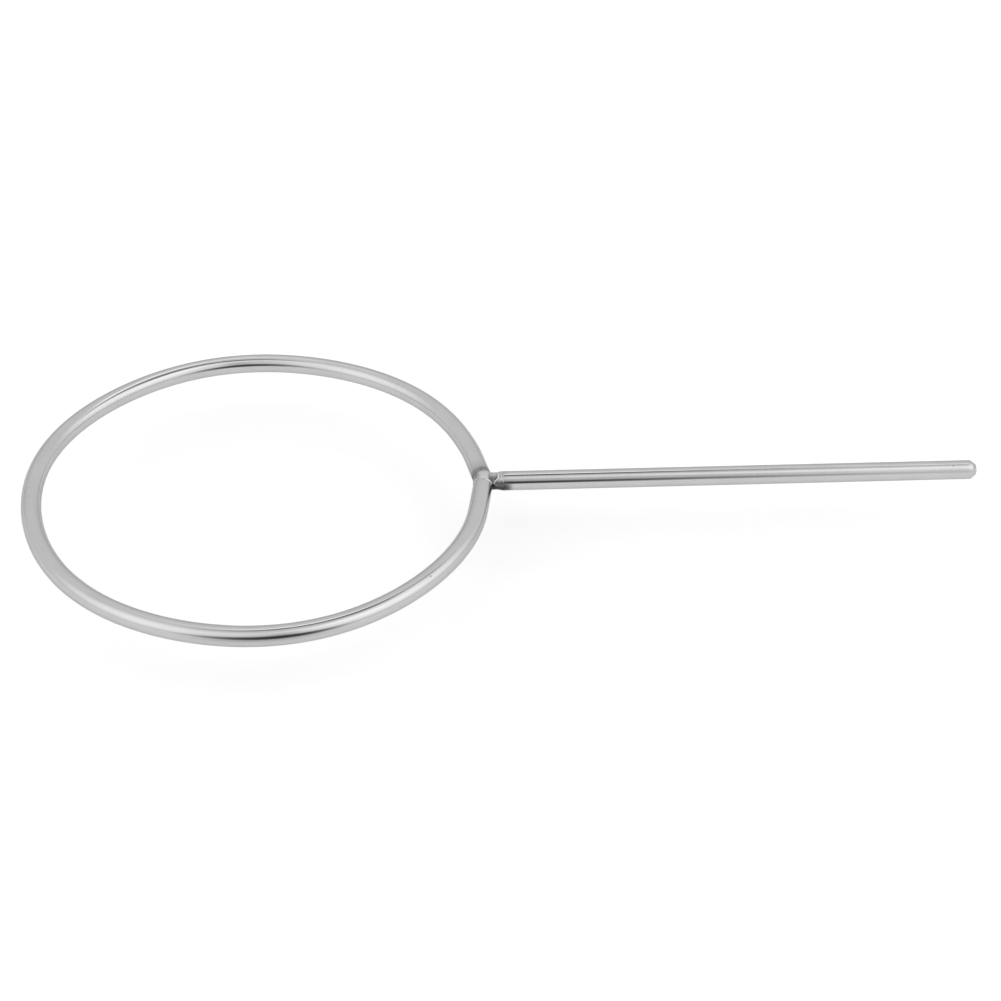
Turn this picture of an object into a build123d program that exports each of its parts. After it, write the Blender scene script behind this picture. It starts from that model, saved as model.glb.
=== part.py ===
from build123d import *
import math
import os

# A laboratory support ring: a closed ring of round bar with one straight stem welded to its
# outside, in the ring's own plane. A boss head grips the stem, and the ring carries a funnel,
# a flask or a tube.
#
# Millimetres. The origin is the ring's centre, half way up the bar. +X runs along the stem to
# its free end, and +Z is square to the ring.

# ---- driving dimensions ----
bar_diameter = 6.0          # the ring and the stem are the same round bar
ring_bore = 130.0           # the ring's inside diameter
stem_reach = 153.5          # the stem's free end, beyond the ring's outside

# ---- the ring's two ends, which meet at the stem ----
straight_end_angle = 10.5   # degrees of the ring, each side of the seam, left straight
end_setback = 0.7           # from the seam to each square-cut end, along the bar
ring_end_bevel = 1.8        # weld preparation on each cut end

# ---- the stem's two ends ----
stem_root_gap = 0.8         # from the ring's outside to the stem's end
stem_bevel_length = 2.2     # weld preparation, along the stem
stem_bevel_depth = 1.5      # and in from the stem's surface
chamfer_length = 1.7        # at the free end, along the stem
chamfer_depth = 1.2         # and in from the stem's surface

# ---- the welds ----
seam_crown = 0.25           # the seam weld's rise above the bar, at its middle
waist_radius = 2.72         # the stem weld's narrowest, just off the ring
waist_offset = 0.7          # from the ring's outside to that waist
root_radius = 2.95          # the stem weld where it runs out on to the ring
root_offset = 1.0           # from the ring bar's centreline to that run-out

# ---- worked out from them ----
bar_radius = bar_diameter / 2
ring_radius = ring_bore / 2 + bar_radius
end_angle = math.radians(straight_end_angle)
joint_x = ring_radius / math.cos(end_angle)
straight_length = ring_radius * math.tan(end_angle)
joint_outside_x = joint_x + bar_radius
stem_start_x = joint_outside_x + stem_root_gap
stem_end_x = ring_radius + bar_radius + stem_reach
joint = Vector(joint_x, 0, 0)


def end_direction(side):
    """Along a straight end of the ring, away from the seam: side is 1 for +Y and -1 for -Y."""
    return Vector(-math.sin(end_angle), side * math.cos(end_angle), 0)


def make_ring_end(side):
    """A straight end of the ring, cut square to the bar and bevelled."""
    direction = end_direction(side)
    section = Plane(origin=joint + direction * end_setback, z_dir=direction) * Circle(bar_radius)
    end = extrude(section, amount=straight_length - end_setback)
    cut_face = end.faces().sort_by(Axis.Y)[0 if side > 0 else -1]
    return chamfer(cut_face.edges(), ring_end_bevel)


def make_support_ring():
    """Round bar rolled to a circle, with its two straight ends brought up to the seam."""
    centreline = CenterArc((0, 0), ring_radius, straight_end_angle, 360 - 2 * straight_end_angle)
    section = Plane(origin=centreline @ 0, z_dir=centreline % 0) * Circle(bar_radius)
    rolled = sweep(section, path=centreline)
    return rolled + make_ring_end(1) + make_ring_end(-1)


def make_stem():
    """A straight bar, turned down to a cone where it is welded and chamfered at its free end."""
    profile = make_face(Polyline(
        (stem_start_x, 0),
        (stem_start_x, bar_radius - stem_bevel_depth),
        (stem_start_x + stem_bevel_length, bar_radius),
        (stem_end_x - chamfer_length, bar_radius),
        (stem_end_x, bar_radius - chamfer_depth),
        (stem_end_x, 0),
        close=True,
    ))
    return revolve(profile, axis=Axis.X)


def make_seam_half(side):
    """The seam weld on one end of the ring: it fills the bevel and crowns over the seam."""
    direction = end_direction(side)
    along_the_end = Plane(origin=joint, x_dir=direction, z_dir=direction.cross(Vector(0, 0, 1)))
    overrun = bar_radius / 3
    root = (end_setback, bar_radius - ring_end_bevel)
    toe = (end_setback + ring_end_bevel, bar_radius)
    crown = (0, bar_radius + seam_crown)
    profile = make_face([
        Line((-overrun, 0), (end_setback, 0)),
        Line((end_setback, 0), root),
        Line(root, toe),
        TangentArc(crown, toe, tangent=(1, 0)),
        Line(crown, (-overrun, crown[1])),
        Line((-overrun, crown[1]), (-overrun, 0)),
    ])
    whole = revolve(along_the_end * profile, axis=Axis(joint, direction))
    size = 4 * bar_diameter
    this_side = Pos(joint_x, side * size / 2, 0) * Box(size, size, size)
    return whole & this_side


def make_seam_weld():
    """The butt weld that closes the ring."""
    return make_seam_half(1) + make_seam_half(-1)


def make_stem_weld(ring, seam_weld, stem):
    """The weld that fills the corner between the ring and the stem, with a slight waist."""
    root = (joint_x + root_offset, root_radius)
    waist = (joint_outside_x + waist_offset, waist_radius)
    toe = (stem_start_x + stem_bevel_length, bar_radius)
    profile = make_face([
        Line((root[0], 0), root),
        ThreePointArc(root, waist, toe),
        Line(toe, (toe[0], 0)),
        Line((toe[0], 0), (root[0], 0)),
    ])
    return revolve(profile, axis=Axis.X) - ring - seam_weld - stem


support_ring = make_support_ring()
stem = make_stem()
ring_seam_weld = make_seam_weld()
stem_weld = make_stem_weld(support_ring, ring_seam_weld, stem)

pieces = {
    "support_ring": support_ring,
    "stem": stem,
    "ring_seam_weld": ring_seam_weld,
    "stem_weld": stem_weld,
}

os.makedirs("parts", exist_ok=True)
for name, shape in pieces.items():
    export_step(shape, f"parts/{name}.step")
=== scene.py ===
import math

import bpy
import numpy as np
from mathutils import Matrix, Vector


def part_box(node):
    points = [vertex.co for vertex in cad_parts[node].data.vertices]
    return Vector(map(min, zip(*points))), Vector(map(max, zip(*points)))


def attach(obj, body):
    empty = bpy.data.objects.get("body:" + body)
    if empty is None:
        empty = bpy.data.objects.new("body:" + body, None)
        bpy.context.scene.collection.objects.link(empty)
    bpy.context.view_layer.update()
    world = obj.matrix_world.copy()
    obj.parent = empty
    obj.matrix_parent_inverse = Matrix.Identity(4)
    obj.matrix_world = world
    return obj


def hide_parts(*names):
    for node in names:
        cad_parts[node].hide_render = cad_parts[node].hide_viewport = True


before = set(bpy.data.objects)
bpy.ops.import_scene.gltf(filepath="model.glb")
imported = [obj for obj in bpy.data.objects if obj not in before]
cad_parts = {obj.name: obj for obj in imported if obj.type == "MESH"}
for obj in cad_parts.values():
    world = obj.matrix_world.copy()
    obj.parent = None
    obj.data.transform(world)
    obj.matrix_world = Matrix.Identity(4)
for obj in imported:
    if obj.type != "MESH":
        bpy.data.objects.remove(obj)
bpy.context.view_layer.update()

# A lab stand's support ring: a ring of round stainless bar, and a straight stem welded to its
# outside. Each bar is a fine tube swept along its centreline, and each weld is a tube sculpted by
# formula. Lengths are in metres. A turn round a bar is in radians, but what places a mark round a
# bar is in degrees.

MM = 0.001

# ---- the bars, from the frame ----
ring_low, ring_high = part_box("support_ring")
stem_low, stem_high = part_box("stem")
BAR_RADIUS = (ring_high.z - ring_low.z) / 2
RING_RADIUS = -ring_low.x - BAR_RADIUS
STEM_START = stem_low.x
STEM_END = stem_high.x

# ---- how the bars are cut and bevelled, as in the CAD ----
STRAIGHT_END = math.radians(10.5)       # of the ring, each side of the seam, left straight
RING_END_SETBACK = 0.7 * MM
RING_END_BEVEL = 1.8 * MM
STEM_BEVEL_LENGTH = 2.2 * MM
STEM_BEVEL_DEPTH = 1.5 * MM
CHAMFER_LENGTH = 1.7 * MM               # at the stem's free end
CHAMFER_DEPTH = 1.2 * MM
CHAMFER_CURVE = 1.25                    # 1 is a straight chamfer, and more eases it into the bar

# ---- worked out from them ----
JOINT_X = RING_RADIUS / math.cos(STRAIGHT_END)
JOINT_OUTSIDE_X = JOINT_X + BAR_RADIUS
END_LENGTH = RING_RADIUS * math.tan(STRAIGHT_END)
RING_LENGTH = RING_RADIUS * (2 * math.pi - 2 * STRAIGHT_END) + 2 * END_LENGTH

# ---- how far the rolled ring is from a true circle: height, number of waves, where one crests ----
RING_WAVES = ((0.20 * MM, 6, math.radians(-17)), (0.08 * MM, 3, math.radians(36)))

# ---- how far the weld's marks reach along the ring, each side of the seam, and along the stem ----
RING_WELDED = 9 * MM
STEM_WELDED = 7 * MM

# ---- the corners of a flat square, round it in order ----
SQUARE = ((-1, -1), (1, -1), (1, 1), (-1, 1))

# ---- fineness of the meshes: sides round each tube, and steps along it ----
BAR_SIDES = 80
WELD_SIDES = 240
FINE_STEP = 0.12 * MM                   # where a bar is welded or chamfered
RING_STEP = 0.9 * MM                    # along the rest of the ring
STEM_STEP = 1.5 * MM                    # along the rest of the stem
SEAM_STEP = 0.07 * MM
NECK_ROOT_STEP = 0.2 * MM               # where the stem's weld is inside the ring
NECK_STEP = 0.05 * MM


# ---------------------------------------------------------------- shaping by formula
def bump(distance, reach):
    """1 where distance is 0, falling smoothly to 0 at reach on either side."""
    share = min(abs(distance) / reach, 1)
    return (1 - share * share) ** 2


def ramp(value, start, end):
    """0 up to start and 1 from end, with a smooth step between them."""
    share = min(max((value - start) / (end - start), 0), 1)
    return share * share * (3 - 2 * share)


def turn_between(a, b):
    """The angle from b to a round a bar, from -pi to pi."""
    return (a - b + math.pi) % (2 * math.pi) - math.pi


def degrees_round(turn):
    """A turn round a bar in degrees, from -180 to 180."""
    return math.degrees(turn_between(turn, 0))


def side(turn, middle, reach):
    """1 on one side of a bar, falling to 0 at reach round it. middle and reach are in degrees."""
    return bump(turn_between(turn, math.radians(middle)), math.radians(reach))


def patch(s, turn, place, reach, middle, side_reach):
    """A soft patch on one side of a bar: 1 in its middle, and 0 beyond its reach along the bar."""
    return bump(s - place, reach) * side(turn, middle, side_reach)


def pit(s, turn, place, middle, reach):
    """How deep a round pit is at a point of a bar, from 0 at its rim to 1 in its middle."""
    round_distance = BAR_RADIUS * turn_between(turn, math.radians(middle))
    return bump(math.hypot(s - place, round_distance), reach)


def spaced(*stretches):
    """Stations along a bar, from stretches of (start, end, step)."""
    stations = []
    for start, end, step in stretches:
        count = max(round((end - start) / step), 1)
        stations += [start + (end - start) * i / count for i in range(count)]
    return stations + [stretches[-1][1]]


# ---------------------------------------------------------------- meshes
def add_mesh(name, points, faces, attributes, flat=0):
    """A mesh object, with vector attributes for its material to read.

    It is smooth-shaded, except for the last few faces, whose number is flat.
    """
    mesh = bpy.data.meshes.new(name)
    mesh.from_pydata([tuple(point) for point in points], [], faces)
    mesh.polygons.foreach_set("use_smooth", [i < len(faces) - flat for i in range(len(faces))])
    for key, values in attributes.items():
        layer = mesh.attributes.new(key, "FLOAT_VECTOR", "POINT")
        layer.data.foreach_set("vector", np.asarray(values, np.float32).ravel())
    piece = bpy.data.objects.new(name, mesh)
    bpy.context.scene.collection.objects.link(piece)
    return piece


def tube_faces(stations, sides):
    """Quads round a tube, and a fan of triangles to a middle point at each end, all facing out."""
    faces = []
    for i in range(stations - 1):
        for k in range(sides):
            a = i * sides + k
            b = i * sides + (k + 1) % sides
            faces.append((a, a + sides, b + sides, b))
    first_middle = stations * sides
    last_middle = first_middle + 1
    last_row = (stations - 1) * sides
    for k in range(sides):
        k_next = (k + 1) % sides
        faces.append((first_middle, k, k_next))
        faces.append((last_middle, last_row + k_next, last_row + k))
    return faces


def tube(name, stations, centre, direction, radius, stain_and_light, sides):
    """A closed tube along a line, with its surface at radius(station, turn) from the line.

    A turn of 0 points out from the ring, or for the stem to -Y, and a quarter turn points up.
    Two attributes go with it. "bar" is each point's place on the bar as if it were straight: its
    distance along the surface, then two offsets across. The other, given for each station and turn, is
    how dark heat tint and painted shade leave the metal, how dull, and how much painted highlight a
    ridge carries.
    """
    points, bar, stain_and_light_values = [], [], []
    turns = [2 * math.pi * k / sides for k in range(sides)]
    for s in stations:
        middle = centre(s)
        outward = direction(s).cross(Vector((0, 0, 1)))
        for turn in turns:
            r = radius(s, turn)
            across, up = r * math.cos(turn), r * math.sin(turn)
            points.append(middle + outward * across + Vector((0, 0, up)))
            bar.append((s + BAR_RADIUS - r, across, up))
            stain_and_light_values.append(stain_and_light(s, turn))
    for s in (stations[0], stations[-1]):
        points.append(centre(s))
        bar.append((s + BAR_RADIUS, 0, 0))
        stain_and_light_values.append((0, 0, 0))
    attributes = {"bar": bar, "stain_and_light": stain_and_light_values}
    return add_mesh(name, points, tube_faces(len(stations), sides), attributes, flat=2 * sides)


# ---------------------------------------------------------------- the ring's bar
def ring_turn(s):
    """The angle round the ring at a distance s along it, from the seam on the +Y side."""
    return STRAIGHT_END + (min(max(s, END_LENGTH), RING_LENGTH - END_LENGTH) - END_LENGTH) / RING_RADIUS


def ring_direction(s):
    turn = ring_turn(s)
    return Vector((-math.sin(turn), math.cos(turn), 0))


def ring_centre(s):
    """The ring's centreline: straight at its two ends, and nearly a circle between them."""
    if s < END_LENGTH:
        return Vector((JOINT_X, 0, 0)) + ring_direction(s) * s
    if s > RING_LENGTH - END_LENGTH:
        return Vector((JOINT_X, 0, 0)) - ring_direction(s) * (RING_LENGTH - s)
    turn = ring_turn(s)
    settle = ramp(s - END_LENGTH, 0, END_LENGTH) * ramp(RING_LENGTH - END_LENGTH - s, 0, END_LENGTH)
    out = sum(height * math.cos(waves * (turn - crest)) for height, waves, crest in RING_WAVES)
    return Vector((math.cos(turn), math.sin(turn), 0)) * (RING_RADIUS + out * settle)


def from_seam(s):
    """Distance from the seam: positive on the +Y end of the ring, negative on the -Y end."""
    return s if s < RING_LENGTH / 2 else s - RING_LENGTH


# What the welding left on the ring. Each place is from the seam, and is positive on the +Y side.
UNDERCUT_PLACE = 2.35 * MM              # a groove beside the seam weld
UNDERCUT_REACH = 0.7 * MM
UNDERCUT_DEPTH = 0.16 * MM
RIPPLE_PLACES = (-4.1 * MM, -5.1 * MM, -6.0 * MM)
RIPPLE_REACH = 0.45 * MM
RIPPLE_HEIGHT = 0.014 * MM
ARCH_PLACE = 2.7 * MM                   # a dark arch of heat tint over the groove
ARCH_REACH = 1.9 * MM
RING_CORNER_SHADE = (-3.5 * MM, 4.5 * MM, -12, 36)      # painted shade: a patch on the outside, in the corner beside the stem


def ring_radius(s, turn):
    place = from_seam(s)
    bevel = max(RING_END_SETBACK + RING_END_BEVEL - abs(place), 0)
    undercut = UNDERCUT_DEPTH * bump(place - UNDERCUT_PLACE, UNDERCUT_REACH)
    ripples = sum(bump(place - ripple, RIPPLE_REACH) for ripple in RIPPLE_PLACES)
    return BAR_RADIUS - bevel - undercut + RIPPLE_HEIGHT * ripples


def ring_stain_and_shade(s, turn):
    """Heat tint on the +Y side of the seam weld, painted shade beside the stem and in a pit on the -Y
    side, and both sides dull.
    """
    place = from_seam(s)
    arch = bump(place - ARCH_PLACE, ARCH_REACH)
    haze = 0.35 * bump(place, RING_WELDED)
    # painted shade in the corner beside the stem, and in the corner pit
    dark_patch = 0.1 * patch(place, turn, *RING_CORNER_SHADE)
    dark = min(0.36 * arch + haze * (place > 0) + dark_patch + pit(place, turn, *CORNER_PIT), 1)
    return dark, min(0.5 * arch + haze, 1), 0


def make_ring():
    start, end = RING_END_SETBACK, RING_LENGTH - RING_END_SETBACK
    marks_end, marks_start = RING_WELDED, RING_LENGTH - RING_WELDED
    stations = spaced((start, marks_end, FINE_STEP), (marks_end, marks_start, RING_STEP),
                      (marks_start, end, FINE_STEP))
    return tube("ring_bar", stations, ring_centre, ring_direction, ring_radius, ring_stain_and_shade, BAR_SIDES)


# ---------------------------------------------------------------- the stem's bar
def along_stem(s):
    return Vector((s, 0, 0))


def stem_direction(s):
    return Vector((1, 0, 0))


def stem_radius(s, turn):
    bevel = STEM_BEVEL_DEPTH * max(1 - (s - STEM_START) / STEM_BEVEL_LENGTH, 0)
    chamfered = max(1 - (STEM_END - s) / CHAMFER_LENGTH, 0)
    return BAR_RADIUS - bevel - CHAMFER_DEPTH * chamfered ** CHAMFER_CURVE


def stem_stain_and_shade(s, turn):
    """Heat tint beyond the weld, and painted shade near it on the side that faces -Y and down."""
    past_weld = s - (STEM_START + STEM_BEVEL_LENGTH)
    haze = bump(past_weld, 1.8 * MM)
    # painted shade on the stem's side that faces -Y and down, near the weld
    underside_shade = ramp(past_weld, 3.4 * MM, 1.2 * MM) * side(turn, -12, 62)
    return min(0.15 * haze + 0.85 * underside_shade, 1), min(0.35 * haze + 0.6 * underside_shade, 1), 0


def make_stem():
    marks_end = STEM_START + STEM_WELDED
    chamfer_start = STEM_END - CHAMFER_LENGTH
    stations = spaced((STEM_START, marks_end, FINE_STEP), (marks_end, chamfer_start, STEM_STEP),
                      (chamfer_start, STEM_END, FINE_STEP))
    return tube("stem_bar", stations, along_stem, stem_direction, stem_radius, stem_stain_and_shade, BAR_SIDES)


# ---------------------------------------------------------------- the weld that closes the ring
# The two welds share a crater in the corner between the ring and the stem, on top and to -Y.
SEAM_START = -3.1 * MM                  # its mesh, whose ends are hidden inside the ring's bar
SEAM_END = 2.5 * MM
SEAM_TOE_BACK = -2.55 * MM              # its edge on the -Y end, a straight line across the bar
SEAM_TOE_FRONT = 1.75 * MM              # its edge on the +Y end, which wanders
SEAM_TOE_SINK = 0.03 * MM               # how far inside the bar's surface its edges are
SEAM_DIVE = 0.7                         # the slope at which it goes on into the bar from there
SEAM_TURN_REACH = 1.5 * MM              # how far each side of the seam its direction changes
SEAM_CROWN = 0.25 * MM
SEAM_RIPPLE_HEIGHT = 0.02 * MM
SEAM_RIPPLE_PITCH = 0.65 * MM
SEAM_RIPPLE_BOW = 0.5 * MM              # how far a ripple bows back at the weld's edges
SHOULDER_DEPTH = 0.34 * MM              # of the crater's part on the seam weld
FACET_DEPTH = 0.075 * MM
LIP = (-2.3 * MM, 0.34 * MM, 46, 36)    # the thin ridge along the crater's -Y edge, a patch, with a painted highlight on it
LIP_HEIGHT = 0.15 * MM
# Each pit: its place along the weld, its place round it in degrees, and its radius.
SEAM_PIT = (-2.3 * MM, 118, 0.3 * MM)
SEAM_PIT_DEPTH = 0.22 * MM
CORNER_PIT = (-2.5 * MM, 8, 0.7 * MM)   # where both welds and the ring's bar meet, painted dark there as shade in the corner
CORNER_PIT_DEPTH = 0.4 * MM


def seam_direction(s):
    """Square to the weld's slices, which turn evenly from one straight end of the ring to the other."""
    turn = STRAIGHT_END * max(-1, min(1, s / SEAM_TURN_REACH))
    return Vector((-math.sin(turn), math.cos(turn), 0))


def seam_centre(s):
    return Vector((JOINT_X - math.sin(STRAIGHT_END) * abs(s), math.cos(STRAIGHT_END) * s, 0))


def facets(s, turn):
    """The uneven floor of a weld's crater, as metal freezes in a few rounded lumps."""
    return FACET_DEPTH * (math.cos(5 * turn + 1900 * s) + 0.6 * math.cos(11 * turn - 3100 * s))


def shoulder(s, turn):
    """The crater's part on the seam weld: 1 on its floor, and 0 at its edges and outside it."""
    round_share = min(2 * side(turn, 26, 46), 1)
    return round_share * ramp(s, -2.45 * MM, -1.9 * MM) * ramp(s, 1.4 * MM, 0.7 * MM)


def seam_weld_radius(s, turn):
    front = SEAM_TOE_FRONT + 0.22 * MM * math.sin(3 * turn + 0.6) + 0.1 * MM * math.sin(7 * turn)
    share = (s - SEAM_TOE_BACK) / (front - SEAM_TOE_BACK)
    if not 0 < share < 1:
        outside = max(SEAM_TOE_BACK - s, s - front)
        return BAR_RADIUS - SEAM_TOE_SINK - SEAM_DIVE * outside
    crown = SEAM_CROWN * math.sqrt(4 * share * (1 - share))
    chevron = BAR_RADIUS * turn - SEAM_RIPPLE_BOW * (2 * share - 1) ** 2
    ripple_height = SEAM_RIPPLE_HEIGHT * crown / SEAM_CROWN
    ripple = ripple_height * math.sin(2 * math.pi * chevron / SEAM_RIPPLE_PITCH)
    holes = SEAM_PIT_DEPTH * pit(s, turn, *SEAM_PIT) + CORNER_PIT_DEPTH * pit(s, turn, *CORNER_PIT)
    crater_part = (SHOULDER_DEPTH + facets(s, turn)) * shoulder(s, turn)
    ridge = LIP_HEIGHT * patch(s, turn, *LIP)
    return BAR_RADIUS - SEAM_TOE_SINK + crown + ripple - holes - crater_part + ridge


def seam_weld_stain_and_light(s, turn):
    """The bead is clean on top and tinted at its edges and round its sides; it is darker in the crater,
    with painted shade in its pits and a painted highlight on its lip.
    """
    edge = bump(s - SEAM_TOE_FRONT, 0.7 * MM) + 0.6 * bump(s - SEAM_TOE_BACK, 0.25 * MM)
    from_top = abs(turn_between(turn, math.radians(75)))
    sides = ramp(from_top, math.radians(28), math.radians(62)) * ramp(s, -2.4 * MM, -1.2 * MM)
    tint = 0.4 * edge + 0.52 * sides + 0.25 * side(turn, -25, 45)
    # painted shade in the pits, the corner pit among them
    holes = pit(s, turn, *SEAM_PIT) + pit(s, turn, *CORNER_PIT)
    dark = tint + 0.38 * shoulder(s, turn) + holes
    # painted highlight on the lip, which also clears its tint and dullness
    clean = patch(s, turn, *LIP)
    return min(dark, 1) * (1 - clean), 0.6 * (1 - clean), clean


def make_seam_weld():
    stations = spaced((SEAM_START, SEAM_END, SEAM_STEP))
    return tube("seam_weld_bead", stations, seam_centre, seam_direction, seam_weld_radius,
                seam_weld_stain_and_light, WELD_SIDES)


# ---------------------------------------------------------------- the weld that holds the stem
NECK_START = JOINT_X + 0.3 * MM         # its mesh, whose ends are hidden inside the bars
NECK_SHOWS = JOINT_OUTSIDE_X - 2 * MM   # where it starts to show outside the ring's bar
NECK_END = STEM_START + STEM_BEVEL_LENGTH + 1 * MM
NECK_ROOT_X = JOINT_X + 1.0 * MM        # where it leaves the ring
NECK_ROOT = 2.95 * MM                   # and its radius there
NECK_WAIST_X = JOINT_OUTSIDE_X + 0.9 * MM       # where it is narrowest
NECK_WAIST = 2.68 * MM
NECK_TOE_RISE = 0.02 * MM               # how far it stands above the stem where it runs out
NECK_DIVE = 0.8                         # the slope at which it goes into the stem from there
CRATER_DEPTH = 0.42 * MM
RIM_HEIGHT = 0.13 * MM
# Each pit: its place along the stem's line, its place round it in degrees, and its radius.
NECK_PITS = (
    (JOINT_OUTSIDE_X - 0.5 * MM, 6, 0.80 * MM),
    (JOINT_OUTSIDE_X - 1.4 * MM, 86, 0.36 * MM),
    (JOINT_OUTSIDE_X - 1.2 * MM, 62, 0.30 * MM),
)
PIT_STEEPNESS = 0.6                     # each pit's depth, as a share of its radius


def neck_toe(turn):
    """Where the weld runs out on the stem: further along below than on top."""
    wander = 0.05 - 0.45 * math.sin(turn) + 0.1 * math.sin(4 * turn)
    return STEM_START + STEM_BEVEL_LENGTH + wander * MM


def crater_rim(turn):
    """The far rim of the crater in the corner: a rounded shield that narrows down the -Y side."""
    return JOINT_OUTSIDE_X + (1.45 * ramp(degrees_round(turn), 18, 66) - 0.2) * MM


def crater(s, turn):
    """How far a point lies inside the crater: 1 on its floor, and 0 at its rim and outside it."""
    degrees = degrees_round(turn)
    round_share = ramp(degrees, 14, 30) * ramp(degrees, 112, 88)
    rim = crater_rim(turn)
    return round_share * ramp(s, rim, rim - 0.45 * MM)


def rims(s, turn):
    """The thin raised ridges, which also carry a painted highlight: the crater's far rim, and a fainter
    one over the toe.
    """
    degrees = degrees_round(turn)
    far_ridge = bump(s - crater_rim(turn) - 0.1 * MM, 0.22 * MM)
    far = far_ridge * ramp(degrees, 12, 26) * ramp(degrees, 125, 108)
    toe = 0.4 * bump(s - neck_toe(turn) + 0.25 * MM, 0.25 * MM) * ramp(degrees, 20, 50)
    return max(far, toe)


def neck_radius(s, turn):
    toe_x = neck_toe(turn)
    toe_radius = BAR_RADIUS + NECK_TOE_RISE
    if s > toe_x:
        return toe_radius - NECK_DIVE * (s - toe_x)
    if s < NECK_WAIST_X:
        share = (NECK_WAIST_X - s) / (NECK_WAIST_X - NECK_ROOT_X)
        neck = NECK_WAIST + (NECK_ROOT - NECK_WAIST) * share ** 2
    else:
        share = (s - NECK_WAIST_X) / (toe_x - NECK_WAIST_X)
        neck = NECK_WAIST + (toe_radius - NECK_WAIST) * ramp(share, 0, 1)
    dip = (CRATER_DEPTH + facets(s, turn)) * crater(s, turn)
    holes = sum(PIT_STEEPNESS * reach * pit(s, turn, x, middle, reach) for x, middle, reach in NECK_PITS)
    return neck - dip + RIM_HEIGHT * rims(s, turn) - holes


def neck_stain_and_light(s, turn):
    """Darker in the crater, painted shade in the pits and on the side that faces -Y, heat tint all over,
    and a painted highlight on the ridges.
    """
    # heat tint all over, with painted shade on the side that faces -Y and down
    heat_tint_and_shade = 0.18 + 0.8 * side(turn, -14, 60) + 0.22 * side(turn, 48, 50)
    # darker in the crater
    dark_patch = 0.38 * crater(s, turn) * ramp(degrees_round(turn), 100, 60)
    # painted shade in the pits
    holes = sum(pit(s, turn, *hole) for hole in NECK_PITS)
    dark = heat_tint_and_shade + dark_patch + holes
    # painted highlight on the ridges, which also clears their tint
    clean = min(rims(s, turn), 1)
    return min(dark, 1) * (1 - 0.85 * clean), 0.5 * (1 - 0.6 * clean), clean


def make_stem_weld():
    stations = spaced((NECK_START, NECK_SHOWS, NECK_ROOT_STEP), (NECK_SHOWS, NECK_END, NECK_STEP))
    return tube("stem_weld_bead", stations, along_stem, stem_direction, neck_radius, neck_stain_and_light,
                WELD_SIDES)


# ---------------------------------------------------------------- shader nodes
def node_with(tree, kind, settings=(), inputs=()):
    """A new shader node, with its settings, and with numbers, vectors or links on its inputs."""
    node = tree.nodes.new(kind)
    for key, value in dict(settings).items():
        setattr(node, key, value)
    for key, value in dict(inputs).items():
        if isinstance(value, bpy.types.NodeSocket):
            tree.links.new(value, node.inputs[key])
        else:
            node.inputs[key].default_value = value
    return node


def math_node(tree, operation, *values):
    node = node_with(tree, "ShaderNodeMath", {"operation": operation}, dict(enumerate(values)))
    return node.outputs["Value"]


def dot_node(tree, vector, fixed):
    node = node_with(tree, "ShaderNodeVectorMath", {"operation": "DOT_PRODUCT"}, {0: vector, 1: fixed})
    return node.outputs["Value"]


def fade_node(tree, value, zero_at, one_at):
    """A smooth step from 0, where value is zero_at, to 1, where it is one_at."""
    rising = zero_at < one_at
    limits = {
        "Value": value,
        "From Min": min(zero_at, one_at),
        "From Max": max(zero_at, one_at),
        "To Min": 0.0 if rising else 1.0,
        "To Max": 1.0 if rising else 0.0,
    }
    node = node_with(tree, "ShaderNodeMapRange", {"interpolation_type": "SMOOTHSTEP"}, limits)
    return node.outputs["Result"]


def attribute_node(tree, name):
    return node_with(tree, "ShaderNodeAttribute", {"attribute_name": name}).outputs["Vector"]


def scale_node(tree, vector, factors):
    node = node_with(tree, "ShaderNodeVectorMath", {"operation": "MULTIPLY"}, {0: vector, 1: factors})
    return node.outputs["Vector"]


def noise_node(tree, place, stretch, detail=2.0):
    """Noise from 0 to 1 over a bar, with so many spots per metre along it and across it."""
    inputs = {"Vector": scale_node(tree, place, stretch), "Scale": 1.0, "Detail": detail}
    return node_with(tree, "ShaderNodeTexNoise", {}, inputs).outputs["Fac"]


def mix_node(tree, share, a, b):
    """Colour a where share is 0 and colour b where it is 1."""
    node = tree.nodes.new("ShaderNodeMix")
    node.data_type = "RGBA"
    for socket, value in ((node.inputs[0], share), (node.inputs[6], a), (node.inputs[7], b)):
        if isinstance(value, bpy.types.NodeSocket):
            tree.links.new(value, socket)
        else:
            socket.default_value = value
    return node.outputs[2]


# ---------------------------------------------------------------- materials
EDGE_TINT = 0.62            # steel seen at a glancing angle is a little darker than a plain mirror
RIDGE_HIGHLIGHT = 0.9             # painted highlight: the base colour of the weld's high ridges
# Each is spots per metre, first along the bar and then in the two directions across it.
CLOUD_SPOTS = (90, 260, 260)
BLOTCH_SPOTS = (700, 900, 900)
PIT_CELLS = (170, 220, 220)
BAR_GRAIN = (4200, 260, 260)
WELD_GRAIN = (2600, 2600, 2600)


def grey(level):
    return (level, level, level, 1)


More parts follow.
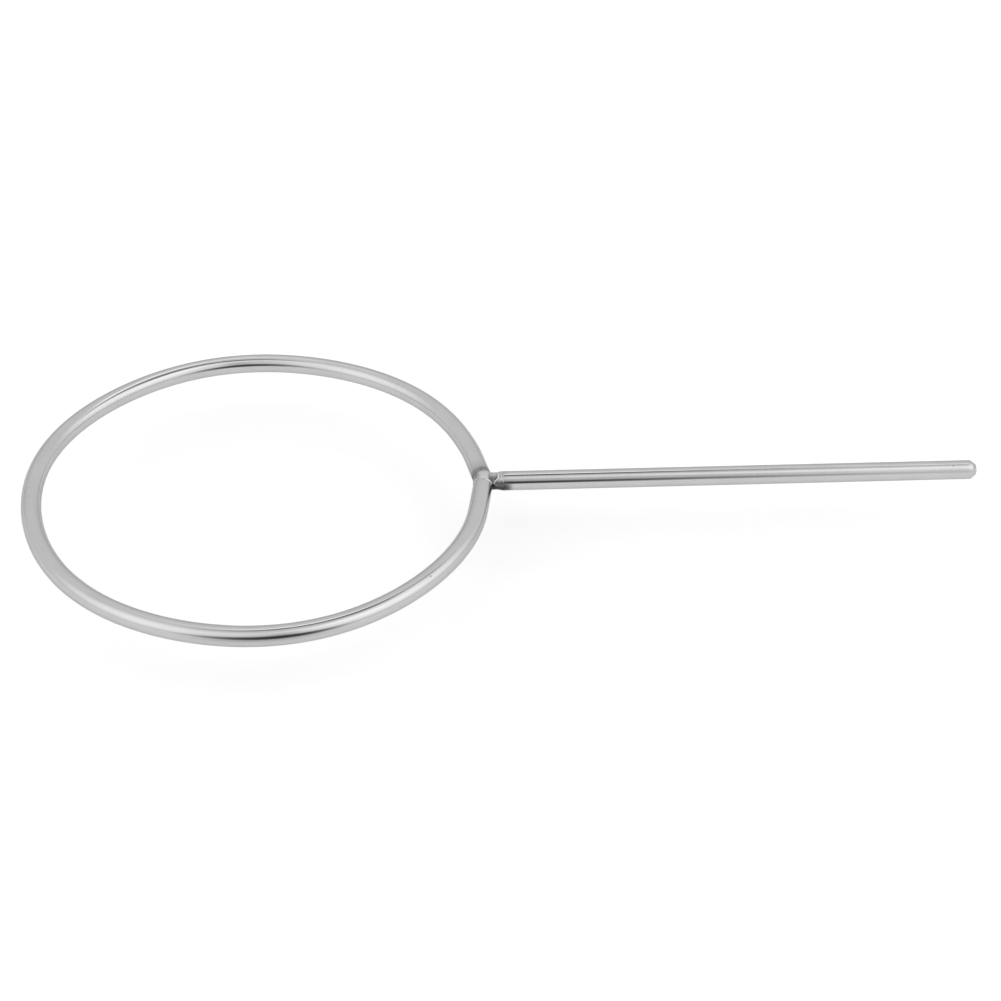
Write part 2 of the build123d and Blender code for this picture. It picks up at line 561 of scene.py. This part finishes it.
def make_metal(name, clean, tint_and_shade_grey, roughness, grain, grain_depth, mottle_share):
    """Stainless metal: grain, cloudy patches and tiny pits, all darkened and dulled by heat tint and
    painted shade, and lit by a painted highlight on the weld's ridges.

    clean and the second grey level are greys: the plain metal, and the dark that heat tint and painted
    shade mix towards. mottle_share is how much darker the patches are. A grain that is much finer along
    the bar reads as the fine rings that a centreless grinder leaves.
    """
    metal = bpy.data.materials.new(name)
    metal.use_nodes = True
    tree = metal.node_tree
    shader = tree.nodes["Principled BSDF"]
    shader.inputs["Metallic"].default_value = 1.0
    shader.inputs["Specular Tint"].default_value = grey(EDGE_TINT)
    place = attribute_node(tree, "bar")
    # Its channels: darkness from heat tint and painted shade, dullness, and painted highlight.
    stain_and_light = node_with(tree, "ShaderNodeSeparateXYZ", {}, {0: attribute_node(tree, "stain_and_light")})
    grain_noise = noise_node(tree, place, grain)
    cloud = noise_node(tree, place, CLOUD_SPOTS, 4.0)
    blotch = noise_node(tree, place, BLOTCH_SPOTS, 3.0)

    # Tiny pits, far apart: the middles of a few cells out of many.
    cells = scale_node(tree, place, PIT_CELLS)
    cell = node_with(tree, "ShaderNodeTexVoronoi", {}, {"Vector": cells, "Scale": 1.0})
    chosen = fade_node(tree, dot_node(tree, cell.outputs["Color"], (1, 0, 0)), 0.72, 0.74)
    speck = math_node(tree, "MULTIPLY", fade_node(tree, cell.outputs["Distance"], 0.075, 0.03), chosen)

    # Heat tint and painted shade, broken up a little by the blotches.
    uneven = math_node(tree, "MULTIPLY_ADD", blotch, 0.7, 0.65)
    dark = math_node(tree, "MULTIPLY", stain_and_light.outputs["X"], uneven)
    dark = math_node(tree, "MAXIMUM", dark, math_node(tree, "MULTIPLY", speck, 0.55))
    colour = mix_node(tree, fade_node(tree, cloud, 0.35, 0.65), grey(clean - mottle_share), grey(clean))
    colour = mix_node(tree, fade_node(tree, grain_noise, 0.2, 0.8), colour, grey(clean))
    # Painted highlight on the weld's ridges.
    colour = mix_node(tree, stain_and_light.outputs["Z"], colour, grey(RIDGE_HIGHLIGHT))
    tree.links.new(mix_node(tree, dark, colour, grey(tint_and_shade_grey)), shader.inputs["Base Color"])

    dull = math_node(tree, "MULTIPLY_ADD", stain_and_light.outputs["Y"], 0.3, roughness)
    dull = math_node(tree, "MULTIPLY_ADD", grain_noise, 0.05, dull)
    dull = math_node(tree, "MULTIPLY_ADD", cloud, 0.05, dull)
    tree.links.new(dull, shader.inputs["Roughness"])

    height = math_node(tree, "MULTIPLY_ADD", speck, -3.0, grain_noise)
    relief_inputs = {"Height": height, "Strength": 1.0, "Distance": grain_depth}
    relief = node_with(tree, "ShaderNodeBump", {}, relief_inputs)
    tree.links.new(relief.outputs["Normal"], shader.inputs["Normal"])
    return metal


def make_bar_steel():
    return make_metal("stainless_bar", clean=0.53, tint_and_shade_grey=0.06, roughness=0.04, grain=BAR_GRAIN,
                      grain_depth=0.0016 * MM, mottle_share=0.04)


def make_weld_steel():
    return make_metal("weld_metal", clean=0.60, tint_and_shade_grey=0.05, roughness=0.16, grain=WELD_GRAIN,
                      grain_depth=0.012 * MM, mottle_share=0.10)


# ---------------------------------------------------------------- floor
FLOOR_DROP = 20 * MM        # the part hangs this far above the floor, so its shadow is faint and soft
FLOOR_REACH = 12.0          # each way from the ring's centre


def make_floor():
    """A plain pale floor, with the slightest unevenness in its paint."""
    z = ring_low.z - FLOOR_DROP
    corners = [(FLOOR_REACH * x, FLOOR_REACH * y, z) for x, y in SQUARE]
    floor = add_mesh("floor", corners, [(0, 1, 2, 3)], {"place": corners})
    paint = bpy.data.materials.new("floor_paint")
    paint.use_nodes = True
    tree = paint.node_tree
    shader = tree.nodes["Principled BSDF"]
    unevenness = noise_node(tree, attribute_node(tree, "place"), (6, 6, 6))
    tree.links.new(mix_node(tree, unevenness, grey(0.94), grey(0.96)), shader.inputs["Base Color"])
    shader.inputs["Roughness"].default_value = 0.8
    floor.data.materials.append(paint)


# ---------------------------------------------------------------- camera
CAMERA_TURN = math.radians(-5.84)       # round the ring from straight in front, towards -X
CAMERA_HEIGHT = math.radians(37.85)     # above the ring's plane
CAMERA_ROLL = math.radians(2.15)
CAMERA_DISTANCE = 565.7 * MM
CAMERA_AIM = (74.1 * MM, -4.2 * MM)     # right of and below the ring's centre, in the view
CAMERA_LENS = 66.53
CAMERA_SENSOR = 36.0


def make_camera():
    back = Vector((
        math.sin(CAMERA_TURN) * math.cos(CAMERA_HEIGHT),
        -math.cos(CAMERA_TURN) * math.cos(CAMERA_HEIGHT),
        math.sin(CAMERA_HEIGHT),
    ))
    level = Vector((math.cos(CAMERA_TURN), math.sin(CAMERA_TURN), 0))
    right = Matrix.Rotation(CAMERA_ROLL, 3, back) @ level
    up = back.cross(right)
    data = bpy.data.cameras.new("camera")
    data.lens = CAMERA_LENS
    data.sensor_width = CAMERA_SENSOR
    data.clip_start = 0.01
    camera = bpy.data.objects.new("camera", data)
    bpy.context.scene.collection.objects.link(camera)
    place = back * CAMERA_DISTANCE + right * CAMERA_AIM[0] + up * CAMERA_AIM[1]
    axes = Matrix((right, up, back)).transposed()
    camera.matrix_world = Matrix.Translation(place) @ axes.to_4x4()
    bpy.context.scene.camera = camera


# ---------------------------------------------------------------- studio light
def compass(azimuth, elevation):
    """A direction from the ring, in degrees: azimuth 0 is +Y and 90 is +X."""
    turn, lift = math.radians(azimuth), math.radians(elevation)
    return Vector((math.sin(turn) * math.cos(lift), math.cos(turn) * math.cos(lift), math.sin(lift)))


def soft_patch(tree, view, azimuth, elevation, tilt, half_width, half_height, edge):
    """How much of a soft-edged elliptical patch shows in the direction view, from 0 to 1.

    The patch is centred on a compass direction and turned by tilt. Its sizes are in degrees, and
    edge is the share of its radius over which it fades out.
    """
    middle = compass(azimuth, elevation)
    level = Vector((middle.y, -middle.x, 0)).normalized()
    across = Matrix.Rotation(math.radians(tilt), 3, middle) @ level
    up = across.cross(middle)
    ahead = math_node(tree, "MAXIMUM", dot_node(tree, view, middle), 0.001)
    squares = []
    for axis, half_size in ((across, half_width), (up, half_height)):
        sideways = dot_node(tree, view, axis / math.tan(math.radians(half_size)))
        offset = math_node(tree, "DIVIDE", sideways, ahead)
        squares.append(math_node(tree, "MULTIPLY", offset, offset))
    distance = math_node(tree, "SQRT", math_node(tree, "ADD", *squares))
    return fade_node(tree, distance, 1, 1 - edge)


# Each patch: azimuth, elevation, tilt, half width, half height, edge, and its change in brightness.
STUDIO_PATCHES = {
    "right_softbox": (108, 42, -15, 48, 42, 0.95, 0.68),
    "left_softbox": (242, 39, -5, 46, 44, 0.95, 0.52),
    "overhead_front": (160, 66, -15, 44, 12, 0.9, 0.28),
    "overhead_back": (16, 62, 0, 26, 7, 0.8, 0.9),
    "back_gap": (50, 72, 0, 22, 16, 0.9, -0.25),
    "back_wall": (-10, 0, 0, 60, 38, 0.95, -0.12),
    "camera_stand": (172, 30, -10, 10, 42, 0.7, -0.22),
}
STUDIO_LEVEL = 0.97


def make_world():
    """A white room: large soft lights, and darker places behind the part and by the camera."""
    world = bpy.data.worlds.new("studio")
    world.use_nodes = True
    tree = world.node_tree
    view = tree.nodes.new("ShaderNodeTexCoord").outputs["Generated"]
    brightness = STUDIO_LEVEL
    for *place, change in STUDIO_PATCHES.values():
        brightness = math_node(tree, "MULTIPLY_ADD", soft_patch(tree, view, *place), change, brightness)
    background = tree.nodes["Background"]
    background.inputs["Color"].default_value = grey(1)
    tree.links.new(brightness, background.inputs["Strength"])
    bpy.context.scene.world = world


def make_card(name, middle, across, up, density, edge):
    """A soft-edged black card that shows only in reflections. It is unseen, and casts no shadow."""
    points = [middle + across * u + up * w for u, w in SQUARE]
    places = [(u, w, 0) for u, w in SQUARE]
    card = add_mesh(name, points, [(0, 1, 2, 3)], {"place": places})
    card.visible_camera = False
    card.visible_diffuse = False
    card.visible_shadow = False
    cloth = bpy.data.materials.new(name)
    cloth.use_nodes = True
    tree = cloth.node_tree
    tree.nodes.clear()
    place = attribute_node(tree, "place")
    from_middle = node_with(tree, "ShaderNodeVectorMath", {"operation": "LENGTH"}, {0: place})
    solid = fade_node(tree, from_middle.outputs["Value"], 1, 1 - edge)
    cover = math_node(tree, "MULTIPLY", solid, density)
    clear = node_with(tree, "ShaderNodeBsdfTransparent")
    black = node_with(tree, "ShaderNodeEmission", {}, {"Strength": 0.0})
    layers = {0: cover, 1: clear.outputs["BSDF"], 2: black.outputs["Emission"]}
    mix = node_with(tree, "ShaderNodeMixShader", {}, layers)
    node_with(tree, "ShaderNodeOutputMaterial", {}, {"Surface": mix.outputs["Shader"]})
    card.data.materials.append(cloth)


CEILING = 0.42
JUST_OFF_FLOOR = ring_low.z - FLOOR_DROP + 2 * MM
# Each card: its middle, half length, half width, turn round Z in degrees, whether it stands upright,
# its density, and the share of its radius over which it fades out.
STUDIO_CARDS = {
    "front_card": ((0.04, -0.40, 0.105), 0.36, 0.20, 0, True, 0.92, 0.78),
    # painted shadow: a dark sheet just off the floor, seen only in reflections, standing for the floor's
    # shadow in front of the part
    "floor_shadow_card": ((0, -0.22, JUST_OFF_FLOOR), 0.14, 0.16, 0, False, 0.4, 0.9),
    "ceiling_ring_card": ((0.105, 0.085, CEILING), 0.31, 0.075, 30, False, 0.9, 0.8),
    "ceiling_stem_card": ((0.17, 0.03, CEILING), 0.14, 0.035, 0, False, 0.45, 0.8),
}


def make_cards():
    """One card stands in front of the part, one lies just off the floor in front of it as a painted
    shadow of the floor, and two narrow ones hang above it.
    """
    for name, (middle, half_length, half_width, turn, upright, density, edge) in STUDIO_CARDS.items():
        turned = Matrix.Rotation(math.radians(turn), 3, "Z")
        along = turned @ Vector((half_length, 0, 0))
        aside = turned @ Vector((0, 0, half_width) if upright else (0, half_width, 0))
        make_card(name, Vector(middle), along, aside, density, edge)


# ---------------------------------------------------------------- put together
PIECES = {
    "ring_bar": (make_ring, "support_ring", "stainless_bar"),
    "stem_bar": (make_stem, "stem", "stainless_bar"),
    "seam_weld_bead": (make_seam_weld, "ring_seam_weld", "weld_metal"),
    "stem_weld_bead": (make_stem_weld, "stem_weld", "weld_metal"),
}
metals = {"stainless_bar": make_bar_steel(), "weld_metal": make_weld_steel()}
for make_piece, node, slot in PIECES.values():
    piece = make_piece()
    piece.data.materials.append(metals[slot])
    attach(piece, "root")
    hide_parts(node)

make_floor()
make_camera()
make_world()
make_cards()
bpy.context.scene.view_settings.view_transform = "Standard"
